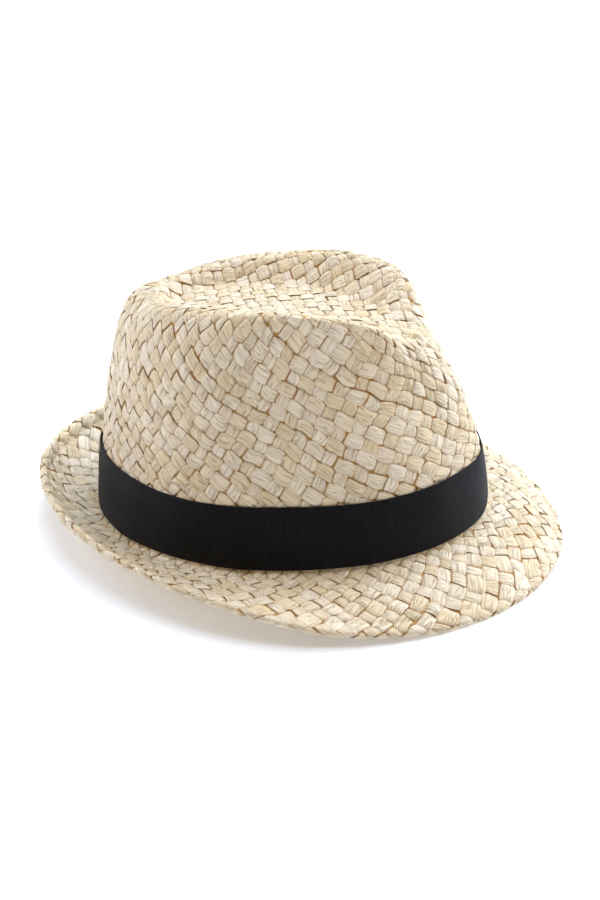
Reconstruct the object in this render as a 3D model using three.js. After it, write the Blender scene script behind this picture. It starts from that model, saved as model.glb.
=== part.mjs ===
// Straw trilby: a woven straw crown and brim joined under a black ribbon.
// Millimetres, +Z up, front of the hat towards -Y, resting on a flat surface at Z = 0.

import * as THREE from 'three';
import { mergeVertices } from 'three/addons/utils/BufferGeometryUtils.js';

// Head oval at the foot of the crown, outside the straw
const crownLength = 212.8;
const crownWidth = 170.8;

// Height of the highest crest above the fold between crown and brim
const crownHeight = 124.8;

// Straw
const strawWall = 2.0;
const brimWidth = 42.7;
const foldRadius = 3.0;
const hemWidth = 7.0;
const hemThickness = 3.8;

// Height of the sewn joint of crown and brim, hidden under the ribbon
const jointHeight = 14.0;

// Ribbon
const ribbonWidth = 31.4;
const ribbonThickness = 1.0;
const ribbonFoot = 2.4;

// Room between pieces that touch
const clearance = 0.3;

// How far the straw gives where it rests on the surface
const restPress = 0.6;

// Fineness of the meshes
const columns = 60;
const wallRings = 13;
const dentRings = 5;
const floorRings = 3;
const collarRings = 2;
const foldRings = 4;
const brimRings = 8;
const hemShares = [0, 0.15, 0.6, 1];
const edgeSteps = 4;
const ribbonRings = 3;

// Crown, a row for each direction seen from above, in degrees from the front.
// out: distance of the crest from the axis, as a share of the head oval
// up: height of the crest, as a share of crownHeight
// lean: share of the way in that the wall takes evenly, the rest being a rounded shoulder
// start: how long the wall stays upright above its foot
// box: squareness of the shoulder
// hollow: inward bow of the wall, as a share of its distance from the axis
// ledge: where the dent's side meets its floor, as a share of the way from crest to valley
const crownRows = [
  { turn: 0, out: 0.63, up: 0.78, lean: 0.63, start: 2.7, box: 2.58, hollow: -0.016, ledge: 0.75 },
  { turn: 20, out: 0.64, up: 0.851, lean: 0.646, start: 1.83, box: 2.18, hollow: 0.002, ledge: 0.72 },
  { turn: 42, out: 0.673, up: 0.956, lean: 0.736, start: 1.35, box: 2.55, hollow: 0.031, ledge: 0.6 },
  { turn: 70, out: 0.581, up: 1.0, lean: 0.793, start: 1.1, box: 3.07, hollow: 0.031, ledge: 0.4 },
  { turn: 100, out: 0.525, up: 0.987, lean: 0.663, start: 1.39, box: 2.71, hollow: 0.017, ledge: 0.27 },
  { turn: 130, out: 0.534, up: 0.972, lean: 0.652, start: 1.03, box: 2.64, hollow: 0.011, ledge: 0.31 },
  { turn: 155, out: 0.576, up: 0.947, lean: 0.49, start: 1.02, box: 2.87, hollow: 0.019, ledge: 0.42 },
  { turn: 180, out: 0.596, up: 0.936, lean: 0.252, start: 1.4, box: 3.29, hollow: 0.023, ledge: 0.62 },
];

// Height share, as a power, at which the wall's bow is deepest
const bowPower = 2.2;

// Valley of the teardrop dent, from the front to the back.
// along: place, as a share of half the crown's length
// up: height, as a share of crownHeight
const valleyRows = [
  { name: 'front', along: -0.473, up: 0.835 },
  { name: 'middle', along: -0.006, up: 0.889 },
  { name: 'back', along: 0.461, up: 0.877 },
];

// Brim, a row for each direction from the front.
// width: along the straw from the fold to the edge, as a share of brimWidth
// rise, edge: slope at the fold and at the edge, in degrees, upward positive
const brimRows = [
  { turn: 0, width: 0.999, rise: -11.7, edge: -48.3 },
  { turn: 30, width: 1.0, rise: -11.6, edge: -44 },
  { turn: 60, width: 0.965, rise: -6.2, edge: -20.7 },
  { turn: 90, width: 0.891, rise: 10.6, edge: 19.9 },
  { turn: 120, width: 0.834, rise: 20.6, edge: 54.2 },
  { turn: 150, width: 0.804, rise: 24.4, edge: 74.1 },
  { turn: 180, width: 0.802, rise: 23.3, edge: 74.5 },
];

// Power by which the slope gathers towards the edge of the brim
const brimCurl = 1.3;

const rad = THREE.MathUtils.degToRad;
const halfLength = crownLength / 2;
const halfWidth = crownWidth / 2;
const fullTurn = 360;

// Search for the resting slope: the steepest that is tried, and how often the range is cut
const steepestRest = 0.5;
const restTries = 60;

// Smooth curve through one column of a table, alike on the left and right of the hat
function readRows(rows, column, turn) {
  const angle = Math.abs((((turn % fullTurn) + 1.5 * fullTurn) % fullTurn) - fullTurn / 2);
  const last = rows.length - 1;
  const turnAt = (i) => {
    if (i < 0) return -rows[1].turn;
    return i > last ? fullTurn - rows[last - 1].turn : rows[i].turn;
  };
  const valueAt = (i) => {
    if (i < 0) return rows[1][column];
    return i > last ? rows[last - 1][column] : rows[i][column];
  };
  const slopeAt = (i) => (valueAt(i + 1) - valueAt(i - 1)) / (turnAt(i + 1) - turnAt(i - 1));
  let k = 0;
  while (k < last - 1 && angle >= rows[k + 1].turn) k += 1;
  const span = turnAt(k + 1) - turnAt(k);
  const t = (angle - turnAt(k)) / span;
  const left = 1 - t;
  return (
    (1 + 2 * t) * left * left * valueAt(k) +
    t * left * left * span * slopeAt(k) +
    (1 + 2 * left) * t * t * valueAt(k + 1) -
    left * t * t * span * slopeAt(k + 1)
  );
}

// Head oval seen from above
function ovalPoint(turn) {
  const angle = rad(turn);
  return new THREE.Vector2(halfWidth * Math.sin(angle), -halfLength * Math.cos(angle));
}

// Level direction straight out from the head oval
function ovalOut(turn) {
  const angle = rad(turn);
  const out = new THREE.Vector2(Math.sin(angle) / halfWidth, -Math.cos(angle) / halfLength);
  return out.normalize();
}

// Crest of the crown
function crestPoint(turn) {
  const angle = rad(turn);
  const out = readRows(crownRows, 'out', turn);
  const x = halfWidth * out * Math.sin(angle);
  const y = -halfLength * out * Math.cos(angle);
  return new THREE.Vector3(x, y, crownHeight * readRows(crownRows, 'up', turn));
}

// Outer face of the crown's wall, at a share of the height of the crest
function wallPoint(turn, share) {
  const foot = ovalPoint(turn);
  const crest = crestPoint(turn);
  const read = (column) => readRows(crownRows, column, turn);
  const swing = Math.asin(Math.min(1, share) ** (read('box') / 2));
  const shoulder = 1 - Math.max(0, Math.cos(swing)) ** (2 / read('box'));
  const inward = read('lean') * share ** read('start') + (1 - read('lean')) * shoulder;
  const bow = 1 - read('hollow') * Math.sin(Math.PI * share ** bowPower);
  const x = (foot.x + (crest.x - foot.x) * inward) * bow;
  const y = (foot.y + (crest.y - foot.y) * inward) * bow;
  return new THREE.Vector3(x, y, crest.z * share);
}

// The same face at a height in millimetres above the fold
function wallAtHeight(turn, height) {
  return wallPoint(turn, height / crestPoint(turn).z);
}

// Valley of the dent, where the left and right sides of the crown's top meet
function valleyPoint(turn) {
  const s = (1 - Math.cos(rad(turn))) / 2;
  const [front, middle, back] = valleyRows;
  const weights = [(1 - s) * (1 - 2 * s), 4 * s * (1 - s), s * (2 * s - 1)];
  const along = front.along + (back.along - front.along) * s;
  const up = front.up * weights[0] + middle.up * weights[1] + back.up * weights[2];
  return new THREE.Vector3(0, halfLength * along, crownHeight * up);
}

// Top of the crown: stage 0 is the crest, 1 the foot of the dent's side, 2 its valley
function dentPoint(turn, stage) {
  const crest = crestPoint(turn);
  const valley = valleyPoint(turn);
  const ledge = readRows(crownRows, 'ledge', turn);
  const across = stage < 1 ? ledge * stage : ledge + (1 - ledge) * (stage - 1);
  const down = (1 - Math.cos(Math.PI * Math.min(1, stage))) / 2;
  const x = crest.x + (valley.x - crest.x) * across;
  const y = crest.y + (valley.y - crest.y) * across;
  return new THREE.Vector3(x, y, crest.z + (valley.z - crest.z) * down);
}

const turns = Array.from({ length: columns }, (_, i) => (i * fullTurn) / columns);
const ring = (pointAt) => turns.map((turn) => pointAt(turn));
const steps = (count) => Array.from({ length: count + 1 }, (_, i) => i / count);

// Closed body from rings of points, each ring one step further along the section.
// The way that cells are cut in two changes at each quarter of the turn, so that left and right
// match, and again half way along the section, where the inside begins.
function skinRings(rings, loops) {
  const positions = rings.flat().flatMap((point) => point.toArray());
  const faces = [];
  const bands = loops ? rings.length : rings.length - 1;
  for (let i = 0; i < bands; i += 1) {
    for (let j = 0; j < columns; j += 1) {
      const next = (j + 1) % columns;
      const here = i * columns;
      const there = ((i + 1) % rings.length) * columns;
      const quarter = Math.floor((4 * j) / columns);
      const half = Math.floor((2 * i) / rings.length);
      const leaning = (quarter + half) % 2 === 1;
      const corner = leaning ? there + j : there + next;
      faces.push(here + j, there + j, leaning ? here + next : there + next);
      faces.push(corner, leaning ? there + next : here + next, leaning ? here + next : here + j);
    }
  }
  const geometry = new THREE.BufferGeometry();
  geometry.setAttribute('position', new THREE.Float32BufferAttribute(positions, 3));
  geometry.setIndex(faces);
  return mergeVertices(geometry);
}

// Rings moved square to their own face, towards the inside of the straw
function thickenRings(rings, depthAt) {
  return rings.map((points, i) => {
    const before = rings[Math.max(0, i - 1)];
    const after = rings[Math.min(rings.length - 1, i + 1)];
    return points.map((point, j) => {
      const arriving = point.clone().sub(before[j]).normalize();
      const along = after[j].clone().sub(point).normalize().add(arriving);
      const around = points[(j + 1) % columns].clone().sub(points[(j + columns - 1) % columns]);
      const inward = around.cross(along).normalize();
      return point.clone().addScaledVector(inward, depthAt(i, j));
    });
  });
}

// Crown: a hollow shell, open at its foot, with the dent in its top
function makeCrown() {
  const stages = [...steps(floorRings).map((share) => 2 - share)];
  stages.push(...steps(dentRings).slice(1).map((share) => 1 - share));
  const top = stages.map((stage) => ring((turn) => dentPoint(turn, stage)));
  const wall = steps(wallRings).slice(1).map((share) =>
    ring((turn) => {
      const footShare = (jointHeight / crestPoint(turn).z) ** (readRows(crownRows, 'box', turn) / 2);
      const foot = Math.asin(footShare);
      const swing = Math.PI / 2 + (foot - Math.PI / 2) * share;
      return wallPoint(turn, Math.sin(swing) ** (2 / readRows(crownRows, 'box', turn)));
    }),
  );
  const outside = [...top, ...wall];
  const inside = thickenRings(outside, () => strawWall);
  inside[0] = outside[0].map((point) => point.clone().setZ(point.z - strawWall));
  return skinRings([...outside, ...inside.reverse()], false);
}

// Upper face of the brim in one direction, from the collar under the ribbon to the edge
function brimSection(turn) {
  const read = (column) => readRows(brimRows, column, turn);
  const out = ovalOut(turn);
  const collarTop = jointHeight - clearance;
  const section = steps(collarRings).map((share) =>
    wallAtHeight(turn, collarTop + (foldRadius - collarTop) * share),
  );
  const walk = (length, slope) => {
    const level = length * Math.cos(slope);
    const step = new THREE.Vector3(out.x * level, out.y * level, length * Math.sin(slope));
    section.push(section[section.length - 1].clone().add(step));
  };
  const rise = rad(read('rise'));
  const bend = rise + Math.PI / 2;
  for (let i = 0; i < foldRings; i += 1) {
    walk((foldRadius * bend) / foldRings, (bend * (i + 0.5)) / foldRings - Math.PI / 2);
  }
  const width = brimWidth * read('width');
  const flat = 1 - hemWidth / width;
  const shares = [
    ...steps(brimRings).map((share) => share * flat),
    ...hemShares.slice(1).map((share) => flat + share * (1 - flat)),
  ];
  for (let i = 1; i < shares.length; i += 1) {
    const middle = (shares[i] + shares[i - 1]) / 2;
    const slope = rise + (rad(read('edge')) - rise) * middle ** brimCurl;
    walk(width * (shares[i] - shares[i - 1]), slope);
  }
  return section;
}

// Brim: collar, fold, curved straw and a thicker round hem, one closed section all the way round
function makeBrim() {
  const sections = turns.map((turn) => brimSection(turn));
  const upper = sections[0].map((_, i) => sections.map((section) => section[i]));
  const hemStart = upper.length - hemShares.length;
  const lower = thickenRings(upper, (i) => (i > hemStart ? hemThickness : strawWall));
  const last = upper.length - 1;
  const edge = steps(edgeSteps).slice(1, -1).map((share) =>
    upper[last].map((top, j) => {
      const under = lower[last][j];
      const middle = top.clone().add(under).multiplyScalar(0.5);
      const outward = top.clone().sub(upper[last - 1][j]).setLength(hemThickness / 2);
      const upward = top.clone().sub(middle);
      const angle = Math.PI * share;
      return middle.addScaledVector(upward, Math.cos(angle)).addScaledVector(outward, Math.sin(angle));
    }),
  );
  return skinRings([...upper, ...edge, ...lower.reverse()], true);
}

// Ribbon: a flat strip lying round the foot of the crown, over the joint
function makeRibbon() {
  const face = (depth) =>
    steps(ribbonRings).map((share) =>
      ring((turn) => {
        const out = ovalOut(turn).multiplyScalar(depth);
        const point = wallAtHeight(turn, ribbonFoot + ribbonWidth * (1 - share));
        return point.add(new THREE.Vector3(out.x, out.y, 0));
      }),
    );
  return skinRings([...face(clearance + ribbonThickness), ...face(clearance).reverse()], true);
}

// Slope of the line that the hat rests on, seen from the side: the highest line under its middle
function restSlope(geometry) {
  const points = geometry.getAttribute('position');
  const heightAtMiddle = (slope) => {
    let lowest = Infinity;
    for (let i = 0; i < points.count; i += 1) {
      lowest = Math.min(lowest, points.getZ(i) - slope * points.getY(i));
    }
    return lowest;
  };
  let low = -steepestRest;
  let high = steepestRest;
  for (let i = 0; i < restTries; i += 1) {
    const third = (high - low) / 3;
    if (heightAtMiddle(low + third) < heightAtMiddle(high - third)) low += third;
    else high -= third;
  }
  return (low + high) / 2;
}

// Stand the pieces on the surface, with the straw pressed flat where it touches
function restPieces(geometries, carrier) {
  const tilt = Math.atan(restSlope(carrier));
  geometries.forEach((geometry) => geometry.rotateX(-tilt));
  const box = new THREE.Box3();
  geometries.forEach((geometry) => {
    geometry.computeBoundingBox();
    box.union(geometry.boundingBox);
  });
  const middle = box.getCenter(new THREE.Vector3());
  geometries.forEach((geometry) => geometry.translate(0, -middle.y, -box.min.z - restPress));
  const points = carrier.getAttribute('position');
  for (let i = 0; i < points.count; i += 1) {
    points.setZ(i, Math.max(0, points.getZ(i)));
  }
}

const straw = new THREE.MeshStandardMaterial({ color: 0xe6dabf, roughness: 0.75, metalness: 0 });
const ribbonCloth = new THREE.MeshStandardMaterial({ color: 0x1b1a1c, roughness: 0.85, metalness: 0 });

const crown = new THREE.Mesh(makeCrown(), straw);
crown.name = 'crown';

const brim = new THREE.Mesh(makeBrim(), straw);
brim.name = 'brim';

const hatBand = new THREE.Mesh(makeRibbon(), ribbonCloth);
hatBand.name = 'hat_band';

restPieces([crown.geometry, brim.geometry, hatBand.geometry], brim.geometry);

const trilby = new THREE.Group();
trilby.add(crown, brim, hatBand);

export default trilby;
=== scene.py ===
import math

import bpy
import numpy as np
from mathutils import Matrix, Vector


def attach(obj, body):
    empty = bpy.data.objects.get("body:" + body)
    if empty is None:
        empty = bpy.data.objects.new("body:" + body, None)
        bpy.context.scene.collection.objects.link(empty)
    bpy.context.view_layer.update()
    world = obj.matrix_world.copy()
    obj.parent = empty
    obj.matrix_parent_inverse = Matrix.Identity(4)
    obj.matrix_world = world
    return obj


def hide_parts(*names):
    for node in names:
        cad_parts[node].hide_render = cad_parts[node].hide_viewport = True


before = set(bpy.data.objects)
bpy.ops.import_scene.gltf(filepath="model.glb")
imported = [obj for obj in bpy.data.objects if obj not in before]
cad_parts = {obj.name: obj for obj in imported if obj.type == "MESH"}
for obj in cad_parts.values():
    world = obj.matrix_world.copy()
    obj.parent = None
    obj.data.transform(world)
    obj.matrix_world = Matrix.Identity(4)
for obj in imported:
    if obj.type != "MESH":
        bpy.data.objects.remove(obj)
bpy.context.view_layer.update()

# Sizes of the hat in millimetres, the same as in the solids
CROWN_LENGTH = 212.8
CROWN_WIDTH = 170.8
CROWN_HEIGHT = 124.8
BRIM_WIDTH = 42.7
FOLD_RADIUS = 3.0
HEM_WIDTH = 7.0
HEM_THICKNESS = 3.8
RIBBON_WIDTH = 31.4
RIBBON_FOOT = 2.4
RIBBON_THICKNESS = 1.0
CLEARANCE = 0.3

# Where up the wall its hollow is deepest, and how late the brim curls
BOW_POWER = 2.2
BRIM_CURL = 1.3

# Heights above the fold at which the crown's woven wall begins and the brim's collar ends
WALL_FOOT = 26.0
BRIM_TOP = 8.0

# The soft hollow that fingers have pressed into each side behind the crown's nose: its depth in mm, the
# turns between which it lies, and how high up the wall
PINCH_DEPTH = 2.8
PINCH_FROM = 24
PINCH_TO = 100
PINCH_POWER = 3.4

# How far the sides of the nose are squeezed towards the middle, as a share: more on the wearer's right,
# where the fingers have also pushed the crest down a little. It is strongest at one turn and one height.
SQUEEZE_RIGHT = 0.35
SQUEEZE_LEFT = 0.05
SQUEEZE_TURN = 28
SQUEEZE_WIDTH = 32
SQUEEZE_WIDTH_AHEAD = 25.6
SQUEEZE_HEIGHT = 0.85
SQUEEZE_REACH = 0.28
SQUEEZE_DROP = 0.19

# The seam of the turned-back hem, on the brim's upper side
SEAM_INSET = 5.6
SEAM_DEPTH = 0.75
SEAM_WIDTH = 1.1
HEM_RISE = 0.35

# How the hat stands on the surface: leaning back by this many degrees, then moved
REST_LEAN = 4.8132
REST_SHIFT = 4.4536
REST_LIFT = 10.5439

# Sections of the crown by their turn from the front, in degrees. They follow the solids, but for a
# tighter shoulder, a longer nose and wider sides of the dent. The crest lies out at a share of the
# foot's oval and up at a share of the crown's height. The wall leans in by a share evenly and the rest in
# a square shoulder (box), starts late, and is hollow by a share. The ledge is how far the dent's side
# reaches from the crest to the valley.
CROWN_ROWS = [
    dict(turn=0, out=0.677, up=0.79, lean=0.66, start=2.3, box=2.58, hollow=-0.016, ledge=0.75),
    dict(turn=9, out=0.682, up=0.802, lean=0.66, start=2.0, box=2.4, hollow=-0.008, ledge=0.74),
    dict(turn=20, out=0.66, up=0.851, lean=0.66, start=1.7, box=2.18, hollow=0.002, ledge=0.72),
    dict(turn=42, out=0.673, up=0.956, lean=0.736, start=1.35, box=4.2, hollow=0.031, ledge=0.6),
    dict(turn=70, out=0.581, up=0.993, lean=0.793, start=1.1, box=5.07, hollow=0.031, ledge=0.52),
    dict(turn=100, out=0.525, up=0.98, lean=0.663, start=1.39, box=4.71, hollow=0.017, ledge=0.42),
    dict(turn=130, out=0.534, up=0.964, lean=0.652, start=1.03, box=4.64, hollow=0.011, ledge=0.44),
    dict(turn=155, out=0.576, up=0.941, lean=0.49, start=1.02, box=2.87, hollow=0.019, ledge=0.5),
    dict(turn=180, out=0.596, up=0.936, lean=0.252, start=1.4, box=3.29, hollow=0.023, ledge=0.62),
]

# The dent's valley from front to back, as shares of half the length and of the height
VALLEY_ROWS = [
    dict(along=-0.473, up=0.835),
    dict(along=-0.006, up=0.889),
    dict(along=0.461, up=0.877),
]

# The brim by turn from the front: its width as a share, and its slope at the fold and at the edge
BRIM_ROWS = [
    dict(turn=0, width=0.999, rise=-11.7, edge=-48.3),
    dict(turn=30, width=1.0, rise=-11.6, edge=-44),
    dict(turn=60, width=0.965, rise=-6.2, edge=-20.7),
    dict(turn=90, width=0.891, rise=10.6, edge=19.9),
    dict(turn=120, width=0.834, rise=20.6, edge=54.2),
    dict(turn=150, width=0.804, rise=24.4, edge=74.1),
    dict(turn=180, width=0.802, rise=23.3, edge=74.5),
]

# Straw strips in millimetres: how far they swing over and under, how round and how thick they are,
# and how deep their middle lies under the face of the straw
SWING = 0.55
ROUND = 0.42
STRIP = 0.32
SHEET_DEPTH = 0.95

# The falling strips are wider than the rising ones and lie on top for longer
FALLING_WIDTH = 1.08
RISING_WIDTH = 0.88
FALLING_ON_TOP = 0.3

# How flat a strip's run over the next one is, and how much it narrows where it dives
PLATEAU = 0.45
NARROWING = 0.22

# How unevenly the straw lies: aside and in width, as shares of the spacing; twist, rise and creases in mm
STRAY = 0.08
WIDTH_CHANGE = 0.09
TWIST = 0.4
UNEVEN = 0.16
CREASES = 0.17
RAGGED = 0.03

# Strips round the crown's wall: those that fall and those that rise towards the front
WALL_FALLING = 41
WALL_RISING = 55

# Slope of the two sets of strips on the wall, in degrees, by millimetres above the fold
WALL_SLOPES = [
    dict(height=20, fall=32, rise=48),
    dict(height=55, fall=27, rise=55),
    dict(height=92, fall=28, rise=58),
    dict(height=112, fall=38, rise=48),
    dict(height=130, fall=43, rise=43),
    dict(height=190, fall=43, rise=43),
]

# Strips round the brim, the same number each way, and how fast the brim grows longer outward
BRIM_STRIPS = 70
BRIM_SPREAD = 5.2
BRIM_COLLAR = 8

# Strip spacing of the flat weave in the crown's top, and how it is turned
TOP_PITCH = 5.9
TOP_TURN = -14.0

# How far the weaves of wall and top run past the crest, under each other
WALL_OVERLAP = 2.6
TOP_OVERLAP = 2.2

MM = 0.001
HALF_LENGTH = CROWN_LENGTH / 2
HALF_WIDTH = CROWN_WIDTH / 2


def to_world(points):
    """Points of the upright hat, in millimetres, to the frame of the solids, in metres."""
    lean = math.radians(REST_LEAN)
    x, y, z = points[..., 0], points[..., 1], points[..., 2]
    across = y * math.cos(lean) + z * math.sin(lean) + REST_SHIFT
    height = z * math.cos(lean) - y * math.sin(lean) + REST_LIFT
    return np.stack([x, across, height], -1) * MM


def above_floor(points):
    """Presses straw flat where it meets the surface that the hat stands on."""
    points[:, 2] = np.maximum(points[:, 2], 0.0001)
    return points


def read_rows(rows, column, turn):
    """Smooth curve through one column of a table, alike on the left and right of the hat."""
    angle = np.abs((np.asarray(turn, float) + 180) % 360 - 180)
    keys = [row["turn"] for row in rows]
    values = [row[column] for row in rows]
    keys = np.array([-keys[1]] + keys + [360 - keys[-2]], float)
    values = np.array([values[1]] + values + [values[-2]], float)
    slopes = (values[2:] - values[:-2]) / (keys[2:] - keys[:-2])
    keys, values = keys[1:-1], values[1:-1]
    k = np.clip(np.searchsorted(keys, angle, side="right") - 1, 0, len(keys) - 2)
    span = keys[k + 1] - keys[k]
    t = (angle - keys[k]) / span
    left = 1 - t
    start = (1 + 2 * t) * left * left * values[k] + t * left * left * span * slopes[k]
    end = (1 + 2 * left) * t * t * values[k + 1] - left * t * t * span * slopes[k + 1]
    return start + end


def oval_out(turn):
    """Level direction straight out from the foot's oval."""
    angle = np.radians(turn)
    x, y = np.sin(angle) / HALF_WIDTH, -np.cos(angle) / HALF_LENGTH
    size = np.hypot(x, y)
    return np.stack([x / size, y / size], -1)


def squeeze(turn, share):
    """Share by which fingers have pressed the side of the nose towards the middle of the hat."""
    angle = (np.asarray(turn, float) + 180) % 360 - 180
    size = np.where(angle < 0, SQUEEZE_RIGHT, SQUEEZE_LEFT)
    beyond = np.abs(angle) - SQUEEZE_TURN
    width = np.where(beyond < 0, SQUEEZE_WIDTH_AHEAD, SQUEEZE_WIDTH)
    across = np.exp(-((beyond / width) ** 2))
    return size * across * np.exp(-(((share - SQUEEZE_HEIGHT) / SQUEEZE_REACH) ** 2))


def crest_line(turn):
    """The crest before fingers squeezed it, except that it already has its final height."""
    angle = np.radians(turn)
    out = read_rows(CROWN_ROWS, "out", turn)
    up = read_rows(CROWN_ROWS, "up", turn) * (1 - SQUEEZE_DROP * squeeze(turn, 1))
    x, y = HALF_WIDTH * out * np.sin(angle), -HALF_LENGTH * out * np.cos(angle)
    return np.stack([x, y, CROWN_HEIGHT * up], -1)


def crest_point(turn):
    """The crest as it is, squeezed beside the nose."""
    crest = crest_line(turn)
    crest[..., 0] *= 1 - squeeze(turn, 1)
    return crest


def pinch_depth(turn):
    """How far fingers have pressed the straw in beside the nose of the crown."""
    angle = np.abs((np.asarray(turn, float) + 180) % 360 - 180)
    across = np.clip((angle - PINCH_FROM) / (PINCH_TO - PINCH_FROM), 0, 1)
    return PINCH_DEPTH * np.sin(np.pi * across**0.7) ** 1.5


def wall_point(turn, share):
    """Outer face of the crown's wall at a share of its crest's height."""
    angle = np.radians(turn)
    foot = np.stack([HALF_WIDTH * np.sin(angle), -HALF_LENGTH * np.cos(angle)], -1)
    crest = crest_line(turn)
    box = read_rows(CROWN_ROWS, "box", turn)
    lean = read_rows(CROWN_ROWS, "lean", turn)
    swing = np.arcsin(np.minimum(1, share) ** (box / 2))
    shoulder = 1 - np.maximum(0, np.cos(swing)) ** (2 / box)
    inward = lean * share ** read_rows(CROWN_ROWS, "start", turn) + (1 - lean) * shoulder
    bow = 1 - read_rows(CROWN_ROWS, "hollow", turn) * np.sin(np.pi * share**BOW_POWER)
    flat = (foot + (crest[..., :2] - foot) * inward[..., None]) * bow[..., None]
    flat = flat - oval_out(turn) * (pinch_depth(turn) * np.sin(np.pi * share**PINCH_POWER))[..., None]
    flat[..., 0] *= 1 - squeeze(turn, share)
    return np.concatenate([flat, (crest[..., 2] * share)[..., None]], -1)


def wall_at_height(turn, height):
    return wall_point(turn, height / crest_point(turn)[..., 2])


def valley_point(turn):
    """The lowest line of the dent, on the middle plane."""
    s = (1 - np.cos(np.radians(turn))) / 2
    front, middle, back = VALLEY_ROWS
    along = front["along"] + (back["along"] - front["along"]) * s
    up = front["up"] * (1 - s) * (1 - 2 * s) + middle["up"] * 4 * s * (1 - s) + back["up"] * s * (2 * s - 1)
    return np.stack([0 * s, HALF_LENGTH * along, CROWN_HEIGHT * up], -1)


def dent_point(turn, stage):
    """Top of the crown: stage 0 is the crest, 1 the foot of the dent's side, 2 its valley."""
    crest, valley = crest_point(turn), valley_point(turn)
    ledge = read_rows(CROWN_ROWS, "ledge", turn)
    across = np.where(stage < 1, ledge * stage, ledge + (1 - ledge) * (stage - 1))
    down = (1 - np.cos(np.pi * np.minimum(1, stage))) / 2
    flat = crest[..., :2] + (valley[..., :2] - crest[..., :2]) * across[..., None]
    return np.concatenate([flat, (crest[..., 2] + (valley[..., 2] - crest[..., 2]) * down)[..., None]], -1)


# Columns of every sheet round the hat
COLUMNS = 900


def even_turns():
    """Turns at even lengths round the foot's oval, from the back by the wearer's right, and its girth."""
    turn = np.linspace(-180, 180, 7201)
    angle = np.radians(turn)
    oval = np.stack([HALF_WIDTH * np.sin(angle), -HALF_LENGTH * np.cos(angle)], -1)
    length = np.concatenate([[0], np.cumsum(np.hypot(*np.diff(oval, axis=0).T))])
    return np.interp(np.arange(COLUMNS) / COLUMNS * length[-1], length, turn), length[-1]


TURNS, GIRTH = even_turns()


def even_lengths(points, step):
    """Sections cut anew at even lengths: rows of points, and how long each section is at its old ones."""
    length = np.concatenate(
        [np.zeros((len(points), 1)), np.cumsum(np.linalg.norm(np.diff(points, axis=1), axis=2), 1)], 1
    )
    rows = int(length[:, -1].max() / step) + 2
    at = np.arange(rows) * step
    cut = [[np.interp(at, length[c], points[c, :, k]) for k in range(3)] for c in range(len(points))]
    return np.array(cut).transpose(2, 0, 1), length


class Sheet:
    """A face of the straw, as points round the hat and along its section."""

    def __init__(self, sections, step=0.6, turned=False):
        self.step = step
        self.points, self.lengths = even_lengths(sections, step)
        around = np.roll(self.points, -1, 1) - np.roll(self.points, 1, 1)
        along = np.gradient(self.points, axis=0)
        # Past the end of a shorter section its last direction goes on
        for row in range(1, len(along)):
            still = np.linalg.norm(along[row], axis=1) < 0.2 * step
            along[row][still] = along[row - 1][still]
        face = np.cross(along, around) if turned else np.cross(around, along)
        self.normals = face / np.linalg.norm(face, axis=2, keepdims=True)

    def at(self, share, length):
        """Place and outward direction at a share of the way round and a length along the section."""
        c = (share % 1) * COLUMNS
        r = np.clip(length / self.step, 0, len(self.points) - 1.001)
        c0, r0 = np.floor(c).astype(int), np.floor(r).astype(int)
        fc, fr = (c - c0)[..., None], (r - r0)[..., None]
        c0, c1 = c0 % COLUMNS, (c0 + 1) % COLUMNS

        def blend(grid):
            low = grid[r0, c0] * (1 - fc) + grid[r0, c1] * fc
            high = grid[r0 + 1, c0] * (1 - fc) + grid[r0 + 1, c1] * fc
            return low * (1 - fr) + high * fr

        return blend(self.points), blend(self.normals)


def smooth_step(value):
    t = np.clip(value, 0, 1)
    return t * t * (3 - 2 * t)


# A length along the section, in millimetres, that is past the end of every sheet
LONGEST = 215


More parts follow.
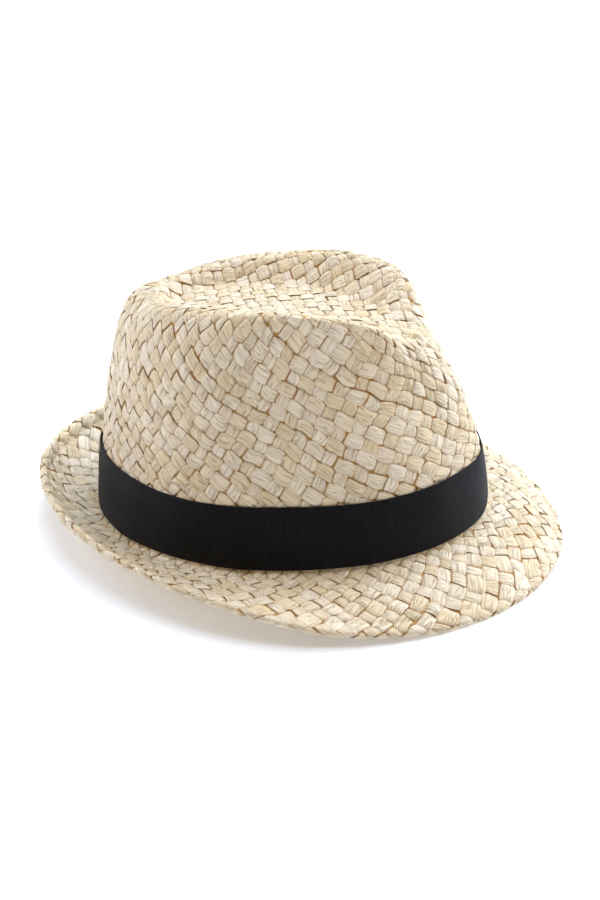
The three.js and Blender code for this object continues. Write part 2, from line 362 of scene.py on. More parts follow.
class RoundWeave:
    """Two sets of strips that run round the hat, one falling and one rising, over a sheet."""

    def __init__(self, sheet, falling, rising, slopes, girths, end, seed):
        self.sheet, self.falling, self.rising, self.end = sheet, falling, rising, end
        at = np.linspace(-20, LONGEST + 5, 961)
        fall = np.interp(at, [row["height"] for row in slopes], [row["fall"] for row in slopes])
        rise = np.interp(at, [row["height"] for row in slopes], [row["rise"] for row in slopes])
        girth = girths(at)
        fall_rate = falling / girth / np.tan(np.radians(fall))
        rise_rate = rising / girth / np.tan(np.radians(rise))
        self.at = at
        self.fall_sum = np.concatenate([[0], np.cumsum((fall_rate[1:] + fall_rate[:-1]) / 2 * np.diff(at))])
        rise_sum = np.concatenate([[0], np.cumsum((rise_rate[1:] + rise_rate[:-1]) / 2 * np.diff(at))])
        self.both = rising * self.fall_sum + falling * rise_sum
        noise = np.random.default_rng(seed)
        # Slow waves of half a millimetre and short ones of a sixth take the evenness out of the weave
        self.waves = []
        for waves, counts, lengths, size in ((6, (2, 9), (60, 130), 0.5), (10, (12, 44), (14, 40), 0.16)):
            for _ in range(waves):
                count, wave = int(noise.integers(*counts)), noise.uniform(*lengths)
                self.waves.append((count, wave, *noise.uniform(0, 6.28, 2), size))

    def place(self, p, q):
        """Share of the way round and length along the section where strips p and q cross."""
        length = np.interp(self.rising * p + self.falling * q, self.both, self.at)
        share = (p - np.interp(length, self.at, self.fall_sum)) / self.falling
        drift, slide = 0, 0
        for count, wave, one, two, size in self.waves:
            drift = drift + size * np.sin(2 * np.pi * (count * share + length / wave) + one)
            slide = slide + size * np.sin(2 * np.pi * (count * share - length / wave) + two)
        return share + drift / GIRTH, length + slide

    def face(self, p, q):
        share, length = self.place(p, q)
        point, out = self.sheet.at(share, length)
        return point, out, np.minimum(length, self.end(share) - length)

    def strands(self, kind):
        """Each strip of one set, with the range of crossings that it runs through."""
        low, high = np.interp([-4, LONGEST], self.at, self.both)
        count = self.falling if kind == "falling" else self.rising
        other = self.rising if kind == "falling" else self.falling
        for i in range(count):
            yield i, (low - other * i) / count, (high - other * i) / count


# What the flat weave takes as the distance inside the crest, in mm, where there is no straw at all
FAR_OUTSIDE = -30


class FlatWeave:
    """The flat weave in the top of the crown, inside the crest."""

    def __init__(self):
        turn, stage = np.meshgrid(np.linspace(0, 360, 1441)[:-1], np.linspace(0, 2, 241))
        top = dent_point(turn, stage)
        inside = np.linalg.norm((top - crest_point(turn))[..., :2], axis=-1)
        # The uppermost part of the wall outside the crest counts too, as lying outside
        rim_turn, share = np.meshgrid(turn[0], 1 - np.linspace(0.002, 1, 40) ** 2 * 0.14)
        wall = wall_point(rim_turn, share)
        outside = -np.linalg.norm((wall - crest_point(rim_turn))[..., :2], axis=-1)
        points = np.concatenate([top.reshape(-1, 3), wall.reshape(-1, 3)])
        inside = np.concatenate([inside.ravel(), outside.ravel()])
        # Height and distance inside the crest on an even grid over the crown's top
        self.low, self.step = np.array([-62.0, -86.0]), 0.9
        size = (int(124 / self.step), int(166 / self.step))
        cell = np.round((points[:, :2] - self.low) / self.step).astype(int)
        good = (cell[:, 0] >= 0) & (cell[:, 0] < size[0]) & (cell[:, 1] >= 0) & (cell[:, 1] < size[1])
        flat = cell[good, 0] * size[1] + cell[good, 1]
        count = np.bincount(flat, minlength=size[0] * size[1])
        fields = []
        for values in (points[good, 2], inside[good]):
            total = np.bincount(flat, values, minlength=size[0] * size[1])
            fields.append(np.where(count > 0, total / np.maximum(count, 1), np.nan).reshape(size))
        # Empty cells take the mean of their neighbours, outward from the full ones
        for field in fields:
            for _ in range(60):
                empty = np.isnan(field)
                if not empty.any():
                    break
                near = np.stack([np.roll(field, shift, axis) for shift in (1, -1) for axis in (0, 1)])
                known = ~np.isnan(near)
                mean = np.where(known, near, 0).sum(0) / np.maximum(known.sum(0), 1)
                field[empty & known.any(0)] = mean[empty & known.any(0)]
            field[np.isnan(field)] = FAR_OUTSIDE
        for _ in range(2):
            padded = np.pad(fields[0], 1, mode="edge")
            along_x = 4 * fields[0] + padded[2:, 1:-1] + padded[:-2, 1:-1]
            fields[0] = (along_x + padded[1:-1, 2:] + padded[1:-1, :-2]) / 8
        self.height, self.inside = fields
        dx, dy = np.gradient(self.height, self.step)
        self.out = np.stack([-dx, -dy, np.ones_like(dx)], -1)
        self.out /= np.linalg.norm(self.out, axis=2, keepdims=True)
        self.reach = int(100 / TOP_PITCH)

    def sample(self, field, x, y):
        fx = np.clip((x - self.low[0]) / self.step, 0, field.shape[0] - 1.001)
        fy = np.clip((y - self.low[1]) / self.step, 0, field.shape[1] - 1.001)
        ix, iy = np.floor(fx).astype(int), np.floor(fy).astype(int)
        tx, ty = fx - ix, fy - iy
        if field.ndim == 3:
            tx, ty = tx[..., None], ty[..., None]
        low = field[ix, iy] * (1 - tx) + field[ix + 1, iy] * tx
        high = field[ix, iy + 1] * (1 - tx) + field[ix + 1, iy + 1] * tx
        return low * (1 - ty) + high * ty

    def face(self, p, q):
        turn = math.radians(45 + TOP_TURN)
        # Slow waves of an eighth of the spacing take the evenness out of this weave too
        along = p + 0.13 * np.sin(0.9 * q + 0.35 * p)
        aside = q + 0.13 * np.sin(0.8 * p - 0.3 * q + 1)
        x = (along * math.cos(turn) - aside * math.sin(turn)) * TOP_PITCH
        y = (along * math.sin(turn) + aside * math.cos(turn)) * TOP_PITCH
        point = np.stack([x, y, self.sample(self.height, x, y)], -1)
        return point, self.sample(self.out, x, y), self.sample(self.inside, x, y) + TOP_OVERLAP

    def strands(self, kind):
        for i in range(-self.reach, self.reach + 1):
            yield i, -self.reach, self.reach


# A strip is a thin closed body: its upper side runs from edge to edge, its lower side back
UPPER = np.array([-0.5, -0.43, -0.28, -0.1, 0.1, 0.28, 0.43, 0.5])
LOWER = np.array([0.4, 0.0, -0.4])

# Rows of points from one crossing to the next, and how much the creases are drawn out along the straw
STEPS = 8
FIBRE_DRAWN_OUT = 0.06


def along_noise(noise, at, spread, rate=1):
    """Smooth chance values along a strip, so many for each crossing."""
    at = at * rate
    first = int(math.floor(at[0]))
    knots = noise.uniform(-spread, spread, int(math.ceil(at[-1])) - first + 2)
    k = np.floor(at).astype(int) - first
    t = smooth_step(at - np.floor(at))
    return knots[k] * (1 - t) + knots[k + 1] * t


def weave_strips(name, weave, kind, seed, sink=1.5, reach=2.5, pitch=7.0):
    """All strips of one set as one mesh, with what the straw's finish needs kept at each point.

    Over its last millimetres (reach) a strip sinks by so much, so that its end is hidden.
    """
    verts, faces = [], []
    kept = {"edge": [], "lift": [], "tone": [], "fibre": []}
    total = 0
    w = np.concatenate([UPPER, LOWER])
    upward = np.concatenate([np.ones(len(UPPER)), -np.ones(len(LOWER))])
    ring = len(w)
    falling = kind == "falling"
    sign = 1 if falling else -1
    for i, low, high in weave.strands(kind):
        noise = np.random.default_rng(seed * 1000 + i + 500)
        at = np.arange(math.floor(low) * STEPS, math.ceil(high) * STEPS + 1) / STEPS
        wave = np.clip(sign * np.cos(np.pi * (at + i)) + (FALLING_ON_TOP if falling else 0.0), -1, 1)
        lift = np.sign(wave) * np.abs(wave) ** PLATEAU
        offset = along_noise(noise, at, STRAY) + noise.uniform(-0.05, 0.05)
        wide = FALLING_WIDTH if falling else RISING_WIDTH
        width = wide + noise.uniform(-WIDTH_CHANGE, WIDTH_CHANGE) + along_noise(noise, at, WIDTH_CHANGE)
        width = width * (1 - NARROWING * (1 - np.abs(wave) ** 0.6))
        roll = along_noise(noise, at, TWIST)
        rise = along_noise(noise, at, UNEVEN)
        tone = along_noise(noise, at, 1.0)
        folds = np.stack([along_noise(noise, at, CREASES, 2) for _ in UPPER], 1)
        folds[:, [0, -1]] *= 0.4
        ragged = np.stack([along_noise(noise, at, RAGGED, 3) for _ in range(2)], 1)
        side = (w[None] * width[:, None]) + offset[:, None]
        side += np.where(w[None] < 0, ragged[:, :1], ragged[:, 1:]) * np.abs(2 * w[None]) ** 2
        line = np.repeat(at[:, None], ring, 1)
        mine = i + side
        p, q = (mine, line) if falling else (line, mine)
        point, out, inside = weave.face(p, q)
        # How far the strip's middle lies inside its sheet
        centre = inside[:, [3, 4]].mean(1)
        bulge = ROUND * (0.45 + 0.55 * np.abs(wave))[:, None] * (1 - (2 * UPPER[None]) ** 2) ** 0.75
        base = SWING * lift + rise - SHEET_DEPTH
        upper = base[:, None] + bulge + roll[:, None] * UPPER[None] + folds
        lower = base[:, None] - STRIP * np.array([0.6, 1.0, 0.6])[None] + roll[:, None] * LOWER[None]
        height = np.concatenate([upper, lower], 1) - sink * smooth_step(1 - centre / reach)[:, None]
        place = point + out * height[..., None]
        # The strip is built only where it lies inside, which can be in several runs
        runs = np.flatnonzero(np.diff(np.concatenate([[0], (centre > 0).astype(int), [0]])))
        walked = np.concatenate([[0], np.cumsum(np.linalg.norm(np.diff(place[:, 2], axis=0), axis=1))])
        for first, last in zip(runs[::2], runs[1::2]):
            if last - first < 3:
                continue
            rows = last - first
            verts.append(place[first:last].reshape(-1, 3))
            kept["edge"].append(np.repeat(np.abs(2 * w)[None], rows, 0).ravel())
            kept["lift"].append((lift[first:last, None] * upward[None]).ravel())
            kept["tone"].append(np.repeat(tone[first:last, None] * 0.5 + 0.5, ring, 1).ravel())
            # Millimetres across the strip, and along it drawn out; each run has a part of its own
            fibre = np.zeros((rows, ring, 3))
            fibre[..., 0] = w[None] * pitch + 37 * noise.uniform(0, 10)
            fibre[..., 1] = walked[first:last, None] * FIBRE_DRAWN_OUT
            fibre[..., 2] = i * 3.1
            kept["fibre"].append(fibre.reshape(-1, 3))
            r, c = np.meshgrid(np.arange(rows - 1), np.arange(ring), indexing="ij")
            here, there = r * ring + c, (r + 1) * ring + c
            beside = (c + 1) % ring - c
            quads = np.stack([here, there, there + beside, here + beside], -1).reshape(-1, 4) + total
            if sign < 0:
                quads = quads[:, ::-1]
            faces.extend(quads.tolist())
            first_cap = list(range(total, total + ring))
            total += rows * ring
            last_cap = list(range(total - 1, total - ring - 1, -1))
            faces.extend([first_cap[::sign], last_cap[::sign]])
    mesh = bpy.data.meshes.new(name)
    points = above_floor(to_world(np.concatenate(verts)))
    mesh.from_pydata(points.tolist(), [], faces)
    for key in ("edge", "lift", "tone"):
        mesh.attributes.new(key, "FLOAT", "POINT").data.foreach_set("value", np.concatenate(kept[key]))
    mesh.attributes.new("fibre", "FLOAT_VECTOR", "POINT").data.foreach_set(
        "vector", np.concatenate(kept["fibre"]).ravel()
    )
    return show(mesh, name)


def show(mesh, name, sharp=55):
    """Adds a closed mesh to the scene with its faces turned outward."""
    mesh.update()
    centres, normals = np.empty(len(mesh.polygons) * 3), np.empty(len(mesh.polygons) * 3)
    areas = np.empty(len(mesh.polygons))
    mesh.polygons.foreach_get("center", centres)
    mesh.polygons.foreach_get("normal", normals)
    mesh.polygons.foreach_get("area", areas)
    if ((centres * normals).reshape(-1, 3).sum(1) * areas).sum() < 0:
        mesh.flip_normals()
    mesh.polygons.foreach_set("use_smooth", np.ones(len(mesh.polygons), bool))
    mesh.set_sharp_from_angle(angle=math.radians(sharp))
    piece = bpy.data.objects.new(name, mesh)
    bpy.context.scene.collection.objects.link(piece)
    return piece


def thin_body(name, outer, inner):
    """A closed body between two faces given as rows of points round the hat."""
    rings = np.concatenate([outer, inner[::-1]])
    count, columns = rings.shape[:2]
    i, j = np.meshgrid(np.arange(count), np.arange(columns), indexing="ij")
    there, beside = (i + 1) % count, (j + 1) % columns
    here, there = i * columns, there * columns
    quads = np.stack([here + j, here + beside, there + beside, there + j], -1)
    mesh = bpy.data.meshes.new(name)
    points = above_floor(to_world(rings.reshape(-1, 3)))
    mesh.from_pydata(points.tolist(), [], quads.reshape(-1, 4).tolist())
    return show(mesh, name)


# The two faces of straw


def crown_sections():
    """Outer face of the crown from above the ribbon's foot over the crest and down the dent's side."""
    turn = TURNS[:, None]
    crest = crest_point(turn)[..., 2]
    box = read_rows(CROWN_ROWS, "box", turn)
    foot = np.arcsin((WALL_FOOT / crest) ** (box / 2))
    swing = foot + (np.pi / 2 - foot) * np.linspace(0, 1, 170)[None]
    wall = wall_point(turn + 0 * swing, np.sin(swing) ** (2 / box))
    stage = np.linspace(0, 0.45, 30)[None, 1:]
    top = dent_point(turn + 0 * stage, stage + 0 * turn)
    return np.concatenate([wall, top], 1), wall.shape[1] - 1


# Points of the brim's section along its collar, its fold and its width
COLLAR_STEPS = 8
FOLD_STEPS = 10
WIDTH_STEPS = 90


def brim_sections():
    """Upper face of the brim from its collar outward, round the hem's bead and back beneath the hem."""
    turn = TURNS
    out = oval_out(turn)
    rise = np.radians(read_rows(BRIM_ROWS, "rise", turn))
    edge = np.radians(read_rows(BRIM_ROWS, "edge", turn))
    width = BRIM_WIDTH * read_rows(BRIM_ROWS, "width", turn)
    path = [wall_at_height(turn, 0 * turn + z) for z in np.linspace(BRIM_TOP, FOLD_RADIUS, COLLAR_STEPS)]

    def slope_at(share):
        return rise + (edge - rise) * share**BRIM_CURL

    def walk(length, slope):
        level = length * np.cos(slope)
        path.append(path[-1] + np.stack([out[:, 0] * level, out[:, 1] * level, length * np.sin(slope)], -1))

    for i in range(FOLD_STEPS):
        bend = rise + np.pi / 2
        walk(FOLD_RADIUS * bend / FOLD_STEPS, bend * (i + 0.5) / FOLD_STEPS - np.pi / 2)
    for i in range(WIDTH_STEPS):
        walk(width / WIDTH_STEPS, slope_at((i + 0.5) / WIDTH_STEPS))
    path = np.array(path).transpose(1, 0, 2)

    def lifted(slope, radius):
        level = -np.sin(slope) * radius
        return np.stack([out[:, 0] * level, out[:, 1] * level, np.cos(slope) * radius], -1)

    # The turned-back hem stands a little proud, with a shallow groove along its seam
    for i in range(WIDTH_STEPS):
        inside = width * (1 - (i + 1) / WIDTH_STEPS)
        groove = SEAM_DEPTH * np.exp(-(((inside - SEAM_INSET) / SEAM_WIDTH) ** 2))
        seam = HEM_RISE * smooth_step(1 - inside / SEAM_INSET) - groove
        path[:, i - WIDTH_STEPS] += lifted(slope_at((i + 0.5) / WIDTH_STEPS), seam)

    half = HEM_THICKNESS / 2
    centre = path[:, -1] - lifted(edge, half + HEM_RISE / 2)
    roll = [centre + lifted(edge - angle, half + HEM_RISE / 2) for angle in np.linspace(0, np.pi, 14)[1:]]
    back = []
    for k in range(1, 15):
        share = 1 - k / 14 * HEM_WIDTH / width
        at = COLLAR_STEPS + FOLD_STEPS - 1 + np.clip(share * WIDTH_STEPS, 0, WIDTH_STEPS)
        low = np.floor(at).astype(int)
        column = np.arange(COLUMNS)
        high = np.minimum(low + 1, path.shape[1] - 1)
        place = path[column, low] * (1 - (at - low))[:, None] + path[column, high] * (at - low)[:, None]
        back.append(place - lifted(slope_at(share), HEM_THICKNESS))
    roll = np.array(roll).transpose(1, 0, 2)
    back = np.array(back).transpose(1, 0, 2)
    return np.concatenate([path, roll, back], 1)


crown_all, crest_row = crown_sections()
crown_sheet = Sheet(crown_all)
crest_length = crown_sheet.lengths[:, crest_row]
brim_sheet = Sheet(brim_sections(), turned=True)
brim_length = brim_sheet.lengths[:, -1]


def round_value(values):
    """Reads values that belong to the columns at any share of the way round."""
    shares = np.arange(COLUMNS + 1) / COLUMNS
    return lambda share: np.interp(share % 1, shares, np.append(values, values[0]))


crown_weave = RoundWeave(
    crown_sheet, WALL_FALLING, WALL_RISING,
    [dict(row, height=row["height"] - WALL_FOOT) for row in WALL_SLOPES],
    lambda at: GIRTH + 0 * at,
    lambda share: round_value(crest_length)(share) + WALL_OVERLAP, seed=11,
)
brim_weave = RoundWeave(
    brim_sheet, BRIM_STRIPS, BRIM_STRIPS,
    [dict(height=height, fall=45, rise=45) for height in (-20, 220)],
    lambda at: GIRTH + BRIM_SPREAD * np.clip(at - BRIM_COLLAR, 0, 44),
    lambda share: round_value(brim_length)(share) - 0.2, seed=23,
)
top_weave = FlatWeave()

pieces = []
for kind in ("falling", "rising"):
    pieces.append(("crown", weave_strips("crown_strips_" + kind, crown_weave, kind, 1)))
    pieces.append(("crown", weave_strips("crown_top_strips_" + kind, top_weave, kind, 2, pitch=TOP_PITCH)))
    pieces.append(("brim", weave_strips("brim_strips_" + kind, brim_weave, kind, 3, sink=0.8, reach=1.5)))

# Painted shade: a thin gold-brown sheet behind the strips, which shows through the small gaps at their
# crossings, where shade falls
BEHIND = 0.15


def behind(sheet, rows, end):
    share, row = np.meshgrid(np.arange(300) / 300, np.arange(0, 1 + 1e-9, 1 / rows))
    point, out = sheet.at(share, end(share) * row)
    return point - out * SHEET_DEPTH, point - out * (SHEET_DEPTH + BEHIND)


pieces.append(("crown", thin_body(
    "crown_gap_shade_behind", *behind(crown_sheet, 60, lambda share: round_value(crest_length)(share) + 1.5),
)))
pieces.append(("brim", thin_body(
    "brim_gap_shade_behind", *behind(brim_sheet, 40, lambda share: round_value(brim_length)(share) - 1.0),
)))


def top_behind():
    stages = np.concatenate([np.linspace(0.12, 1, 24), np.linspace(1, 2, 12)[1:]])
    turn, stage = np.meshgrid(np.arange(180) * 2.0, stages)
    upper = dent_point(turn, stage)
    upper[..., 2] -= SHEET_DEPTH + 0.3
    lower = upper.copy()
    lower[..., 2] -= BEHIND
    return lower[::-1], upper[::-1]


pieces.append(("crown", thin_body("crown_top_gap_shade_behind", *top_behind())))

# Ribbon: woven cotton band, a little uneven where it was drawn tight and sewn
RIBBON_COLUMNS = 720
RIBBON_ROWS = 25


def ribbon_faces():
    share, row = np.meshgrid(np.arange(RIBBON_COLUMNS) / RIBBON_COLUMNS, np.linspace(0, 1, RIBBON_ROWS))
    turn = np.interp(share, np.arange(COLUMNS + 1) / COLUMNS, np.append(TURNS, TURNS[0] + 360))
    # Its edges wander by a quarter of a millimetre, and its face is puffed a little between them
    foot = RIBBON_FOOT + 0.25 * np.sin(2 * np.pi * 3 * share + 1) + 0.15 * np.sin(2 * np.pi * 7 * share)
    head = RIBBON_FOOT + RIBBON_WIDTH + 0.25 * np.sin(2 * np.pi * 4 * share + 2)
    point = wall_at_height(turn, foot + (head - foot) * row)
    out = oval_out(turn)
    puff = 0.16 * np.sin(2 * np.pi * (9 * share + 0.3 * row))
    puff = puff + 0.12 * np.sin(2 * np.pi * (17 * share - 0.2 * row))
    faces = []
    for depth, even in ((CLEARANCE + RIBBON_THICKNESS, 1), (CLEARANCE, 0)):
        far = depth + even * (puff - 0.25 * (2 * np.abs(row - 0.5)) ** 10)
        faces.append(point + np.concatenate([out * far[..., None], 0 * far[..., None]], -1))
    return faces


pieces.append(("hat_band", thin_body("ribbon", *ribbon_faces())))


# Finishes


def linear(code):
    """An sRGB hex colour as the linear colour that Blender's nodes take."""
    parts = [int(code[i : i + 2], 16) / 255 for i in (1, 3, 5)]
    return [c / 12.92 if c <= 0.04045 else ((c + 0.055) / 1.055) ** 2.4 for c in parts] + [1.0]


def add_node(tree, kind, inputs=None, **settings):
    """Adds a node with its settings; each input is a value or another node's socket."""
    node = tree.nodes.new(kind)
    for key, value in settings.items():
        setattr(node, key, value)
    for key, value in (inputs or {}).items():
        if isinstance(value, bpy.types.NodeSocket):
            tree.links.new(value, node.inputs[key])
        else:
            node.inputs[key].default_value = value
    return node


def new_finish(name):
    finish = bpy.data.materials.new(name)
    finish.use_nodes = True
    finish.node_tree.nodes.clear()
    return finish, finish.node_tree


def woven_straw():
    # Paper straw, twisted flat and plaited: cream and matt, creased along each strip, with painted shade
    # darkening its creases and painted gold-brown shade at its edges and where it goes under the next strip
    finish, tree = new_finish("woven_straw")
    lift = add_node(tree, "ShaderNodeAttribute", attribute_name="lift").outputs["Fac"]
    edge = add_node(tree, "ShaderNodeAttribute", attribute_name="edge").outputs["Fac"]
    tone = add_node(tree, "ShaderNodeAttribute", attribute_name="tone").outputs["Fac"]
    fibre = add_node(tree, "ShaderNodeAttribute", attribute_name="fibre").outputs["Vector"]
    # Pressed creases about 1 mm apart across the strip, drawn out along it
    folds = add_node(
        tree, "ShaderNodeTexNoise",
        {"Vector": fibre, "Scale": 1.0, "Detail": 1.5, "Roughness": 0.5, "Distortion": 0.15},
    ).outputs["Fac"]
    centred = add_node(tree, "ShaderNodeMath", {0: folds, 1: 0.5}, operation="SUBTRACT").outputs[0]
    away = add_node(tree, "ShaderNodeMath", {0: centred}, operation="ABSOLUTE").outputs[0]
    crease = add_node(
        tree, "ShaderNodeMapRange",
        {"Value": away, "From Min": 0.0, "From Max": 0.028, "To Min": 1.0, "To Max": 0.0},
    ).outputs["Result"]
    fine = add_node(
        tree, "ShaderNodeTexNoise", {"Vector": fibre, "Scale": 3.0, "Detail": 2.0, "Roughness": 0.5}
    ).outputs["Fac"]
    pale = add_node(
        tree, "ShaderNodeMix",
        {"Factor": tone, "A": linear("#f7e8cf"), "B": linear("#e9d3a8")}, data_type="RGBA",
    ).outputs["Result"]
    # Painted shade: the straw darkens towards brown along its creases, where shade falls in them
    drawn = add_node(tree, "ShaderNodeMath", {0: crease, 1: 0.42}, operation="MULTIPLY").outputs[0]
    crease_shaded = add_node(
        tree, "ShaderNodeMix",
        {"Factor": drawn, "A": pale, "B": linear("#c29a58")}, data_type="RGBA",
    ).outputs["Result"]
    # Painted shade: where a strip goes under the next, and along its edges, it turns gold-brown, here and
    # there more orange, where shade falls between the strips
    shade_hue_noise = add_node(
        tree, "ShaderNodeTexNoise", {"Vector": fibre, "Scale": 0.16, "Detail": 1.0}
    ).outputs["Fac"]
    deep = add_node(
        tree, "ShaderNodeMapRange",
        {"Value": shade_hue_noise, "From Min": 0.42, "From Max": 0.6, "To Min": 0.0, "To Max": 1.0},
    ).outputs["Result"]
    gap_shade_colour = add_node(
        tree, "ShaderNodeMix",
        {"Factor": deep, "A": linear("#c69a4c"), "B": linear("#bf763a")}, data_type="RGBA",
    ).outputs["Result"]
    dive = add_node(
        tree, "ShaderNodeMapRange",
        {"Value": lift, "From Min": 0.36, "From Max": -0.4, "To Min": 0.0, "To Max": 1.0},
    ).outputs["Result"]
    # Painted shade along each strip's edges, reaching half way to the gold-brown
    rim = add_node(
        tree, "ShaderNodeMapRange",
        {"Value": edge, "From Min": 0.86, "From Max": 1.0, "To Min": 0.0, "To Max": 0.5},
    ).outputs["Result"]
    # The painted gap shade of the dives and the edges together
    both = add_node(tree, "ShaderNodeMath", {0: dive, 1: rim}, operation="ADD", use_clamp=True).outputs[0]
    colour = add_node(
        tree, "ShaderNodeMix",
        {"Factor": both, "A": crease_shaded, "B": gap_shade_colour}, data_type="RGBA",
    ).outputs["Result"]
    low = add_node(tree, "ShaderNodeMath", {0: crease, 1: -0.7}, operation="MULTIPLY").outputs[0]
    relief = add_node(tree, "ShaderNodeMath", {0: folds, 1: low}, operation="ADD").outputs[0]
    rough = add_node(
        tree, "ShaderNodeMath", {0: fine, 1: 0.35, 2: relief}, operation="MULTIPLY_ADD"
    ).outputs[0]
    bump = add_node(
        tree, "ShaderNodeBump", {"Height": rough, "Strength": 1.0, "Distance": 0.0005}
    ).outputs["Normal"]
    shader = add_node(
        tree, "ShaderNodeBsdfPrincipled",
        {"Base Color": colour, "Roughness": 0.5, "Normal": bump, "Specular IOR Level": 0.5},
    )
    add_node(tree, "ShaderNodeOutputMaterial", {"Surface": shader.outputs[0]})
    return finish


def gap_shade_behind():
    # Painted shade: the sheet behind the strips, seen only as gold-brown in the gaps between them, where
    # shade falls
    finish, tree = new_finish("gap_shade_behind")
    place = add_node(tree, "ShaderNodeTexCoord").outputs["Object"]
    # Uneven about every 3 mm
    spots = add_node(
        tree, "ShaderNodeTexNoise", {"Vector": place, "Scale": 350.0, "Detail": 2.0}
    ).outputs["Fac"]
    colour = add_node(
        tree, "ShaderNodeMix",
        {"Factor": spots, "A": linear("#a87a3c"), "B": linear("#cf9f55")}, data_type="RGBA",
    ).outputs["Result"]
    shader = add_node(tree, "ShaderNodeBsdfPrincipled", {"Base Color": colour, "Roughness": 0.8})
    add_node(tree, "ShaderNodeOutputMaterial", {"Surface": shader.outputs[0]})
    return finish


def ribbed_ribbon():
    # Black cotton ribbon, woven with fine upright ribs, drawn about 1 mm apart and so a little
    # coarser than real ones: matt, with lint between them and a faint sheen
    finish, tree = new_finish("ribbed_ribbon")
    place = add_node(tree, "ShaderNodeAttribute", attribute_name="round").outputs["Vector"]
    ribs = add_node(
        tree, "ShaderNodeTexNoise", {"Vector": place, "Scale": 1.1, "Detail": 3.0, "Roughness": 0.6}
    ).outputs["Fac"]
    lint = add_node(
        tree, "ShaderNodeTexNoise", {"Vector": place, "Scale": 6.0, "Detail": 2.0}
    ).outputs["Fac"]
    streak = add_node(
        tree, "ShaderNodeMapRange",
        {"Value": ribs, "From Min": 0.35, "From Max": 0.7, "To Min": 0.0, "To Max": 1.0},
    ).outputs["Result"]
    colour = add_node(
        tree, "ShaderNodeMix",
        {"Factor": streak, "A": linear("#040405"), "B": linear("#121215")}, data_type="RGBA",
    ).outputs["Result"]
    height = add_node(tree, "ShaderNodeMath", {0: ribs, 1: lint}, operation="ADD").outputs[0]
    bump = add_node(
        tree, "ShaderNodeBump", {"Height": height, "Strength": 0.6, "Distance": 0.0003}
    ).outputs["Normal"]
    shader = add_node(
        tree, "ShaderNodeBsdfPrincipled",
        {
            "Base Color": colour, "Roughness": 0.8, "Normal": bump, "Specular IOR Level": 0.18,
            "Sheen Weight": 0.07, "Sheen Roughness": 0.45,
        },
    )
    add_node(tree, "ShaderNodeOutputMaterial", {"Surface": shader.outputs[0]})
    return finish


# The second finish (back) is the painted gap shade behind the strips
straw, back, cloth = woven_straw(), gap_shade_behind(), ribbed_ribbon()
for node, piece in pieces:
    ribbon = node == "hat_band"
    piece.data.materials.append(cloth if ribbon else back if "behind" in piece.name else straw)
    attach(piece, "root")
    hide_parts(node)

band = pieces[-1][1]
# Place on the ribbon in millimetres, drawn out so that its ribs stand upright
around, upward = np.meshgrid(
    np.arange(RIBBON_COLUMNS) / RIBBON_COLUMNS * GIRTH, np.linspace(0, RIBBON_WIDTH, RIBBON_ROWS)
)
place = np.stack([around, upward * 0.07, 0 * upward], -1)
band.data.attributes.new("round", "FLOAT_VECTOR", "POINT").data.foreach_set(
    "vector", np.concatenate([place, place[::-1]]).ravel()
)


# Camera, from where the photograph was taken: eye and aim in the upright hat's own frame

EYE_AZIMUTH, EYE_ELEVATION, EYE_ROLL = -68.879, 23.862, -4.167
EYE_DISTANCE = 855.18
FOCAL_PIXELS = 1616.6
AXIS_X, AXIS_Y = 284.236, 410.617
AIM_HEIGHT = 50.0
FRAME_WIDTH, FRAME_HEIGHT = 600, 900
SENSOR_WIDTH = 36


def place_camera():
    a, e, r = (math.radians(v) for v in (EYE_AZIMUTH, EYE_ELEVATION, EYE_ROLL))
    back = np.array([math.sin(a) * math.cos(e), -math.cos(a) * math.cos(e), math.sin(e)])
    right = np.cross(-back, [0, 0, 1])
    right /= np.linalg.norm(right)
    up = np.cross(right, -back)
    right, up = right * math.cos(r) + up * math.sin(r), up * math.cos(r) - right * math.sin(r)
    eye = np.array([0, 0, AIM_HEIGHT]) + back * EYE_DISTANCE
    # The middle of the picture becomes the camera's axis, so that no shift is needed
    aside, down = FRAME_WIDTH / 2 - AXIS_X, FRAME_HEIGHT / 2 - AXIS_Y
    aim = -back + right * aside / FOCAL_PIXELS - up * down / FOCAL_PIXELS
    aim /= np.linalg.norm(aim)
    side = np.cross(aim, up)
    side /= np.linalg.norm(side)
    above = np.cross(side, aim)
    ends = to_world(np.array([eye, eye + side * 1000, eye + above * 1000, eye - aim * 1000]))
    axes = [(end - ends[0]) for end in ends[1:]]
    camera = bpy.data.objects.new("camera", bpy.data.cameras.new("camera"))
    bpy.context.scene.collection.objects.link(camera)
    camera.matrix_world = Matrix(
        [[axes[0][k], axes[1][k], axes[2][k], ends[0][k]] for k in range(3)] + [[0, 0, 0, 1]]
    )
    camera.data.sensor_fit = "HORIZONTAL"
    camera.data.sensor_width = SENSOR_WIDTH
    camera.data.lens = FOCAL_PIXELS / FRAME_WIDTH * SENSOR_WIDTH
    camera.data.clip_start, camera.data.clip_end = 0.01, 50
    bpy.context.scene.camera = camera


place_camera()

# Pale floor and soft studio light


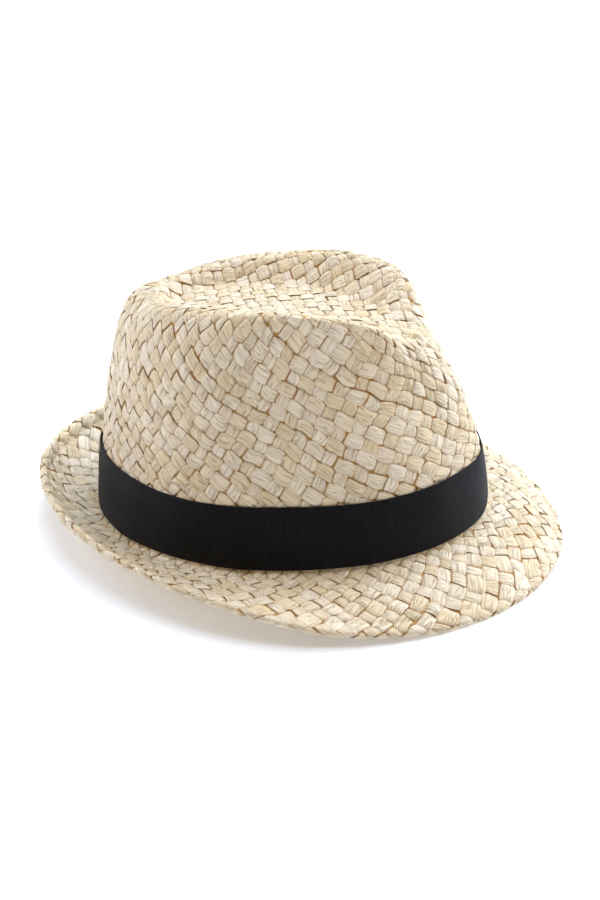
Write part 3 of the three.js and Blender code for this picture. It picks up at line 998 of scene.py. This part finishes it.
def pale_floor():
    mesh = bpy.data.meshes.new("floor")
    far = 40.0
    corners = [(-far, -far, 0), (far, -far, 0), (far, far, 0), (-far, far, 0)]
    mesh.from_pydata(corners, [], [(0, 1, 2, 3)])
    floor = bpy.data.objects.new("floor", mesh)
    bpy.context.scene.collection.objects.link(floor)
    # Painted light: a white sweep that glows a little near the hat, lifting the shadows there, and fully
    # beyond 1.6 m, so that it stays white
    finish, tree = new_finish("glowing_white_floor")
    place = add_node(tree, "ShaderNodeTexCoord").outputs["Object"]
    away = add_node(tree, "ShaderNodeVectorMath", {0: place}, operation="LENGTH").outputs["Value"]
    glow = add_node(
        tree, "ShaderNodeMapRange",
        {"Value": away, "From Min": 0.8, "From Max": 1.6, "To Min": 0.27, "To Max": 1.0},
    ).outputs["Result"]
    shader = add_node(
        tree, "ShaderNodeBsdfPrincipled",
        {
            "Base Color": linear("#edf2fb"), "Roughness": 0.9,
            "Emission Color": linear("#ffffff"), "Emission Strength": glow,
        },
    )
    add_node(tree, "ShaderNodeOutputMaterial", {"Surface": shader.outputs[0]})
    mesh.materials.append(finish)


# Every lamp points at the foot of the hat
LAMP_AIM = (0, 0, 0.05)


def soft_box(name, place, size, power, tint):
    lamp = bpy.data.lights.new(name, "AREA")
    lamp.shape, lamp.size, lamp.energy, lamp.color = "DISK", size, power, linear(tint)[:3]
    box = bpy.data.objects.new(name, lamp)
    box.location = place
    box.rotation_euler = (Vector(place) - Vector(LAMP_AIM)).to_track_quat("Z", "Y").to_euler()
    bpy.context.scene.collection.objects.link(box)


pale_floor()
soft_box("overhead", (0.0, 0.0, 2.3), 1.6, 33, "#f2f7ff")
soft_box("from_far_side", (1.3, 0.0, 1.8), 1.4, 33, "#e2eeff")
soft_box("from_front", (0.2, -1.9, 1.0), 1.2, 7, "#ffd698")
soft_box("from_far_front", (1.6, -1.35, 0.95), 1.0, 40, "#e4f0ff")
soft_box("from_back", (0.2, 1.9, 1.0), 1.2, 22, "#e6f0ff")
soft_box("from_near_back", (-1.1, 1.6, 1.1), 1.2, 5, "#ffcf8a")


def studio_walls():
    """A low white backdrop all round, under a dim ceiling."""
    world = bpy.data.worlds.new("studio")
    bpy.context.scene.world = world
    world.use_nodes = True
    tree = world.node_tree
    tree.nodes.clear()
    place = add_node(tree, "ShaderNodeTexCoord").outputs["Generated"]
    height = add_node(tree, "ShaderNodeSeparateXYZ", {"Vector": place}).outputs["Z"]
    strength = add_node(
        tree, "ShaderNodeMapRange",
        {"Value": height, "From Min": 0.04, "From Max": 0.12, "To Min": 1.0, "To Max": 0.02},
    ).outputs["Result"]
    light = add_node(tree, "ShaderNodeBackground", {"Color": linear("#ffffff"), "Strength": strength})
    add_node(tree, "ShaderNodeOutputWorld", {"Surface": light.outputs[0]})


studio_walls()
bpy.context.scene.view_settings.view_transform = "Standard"
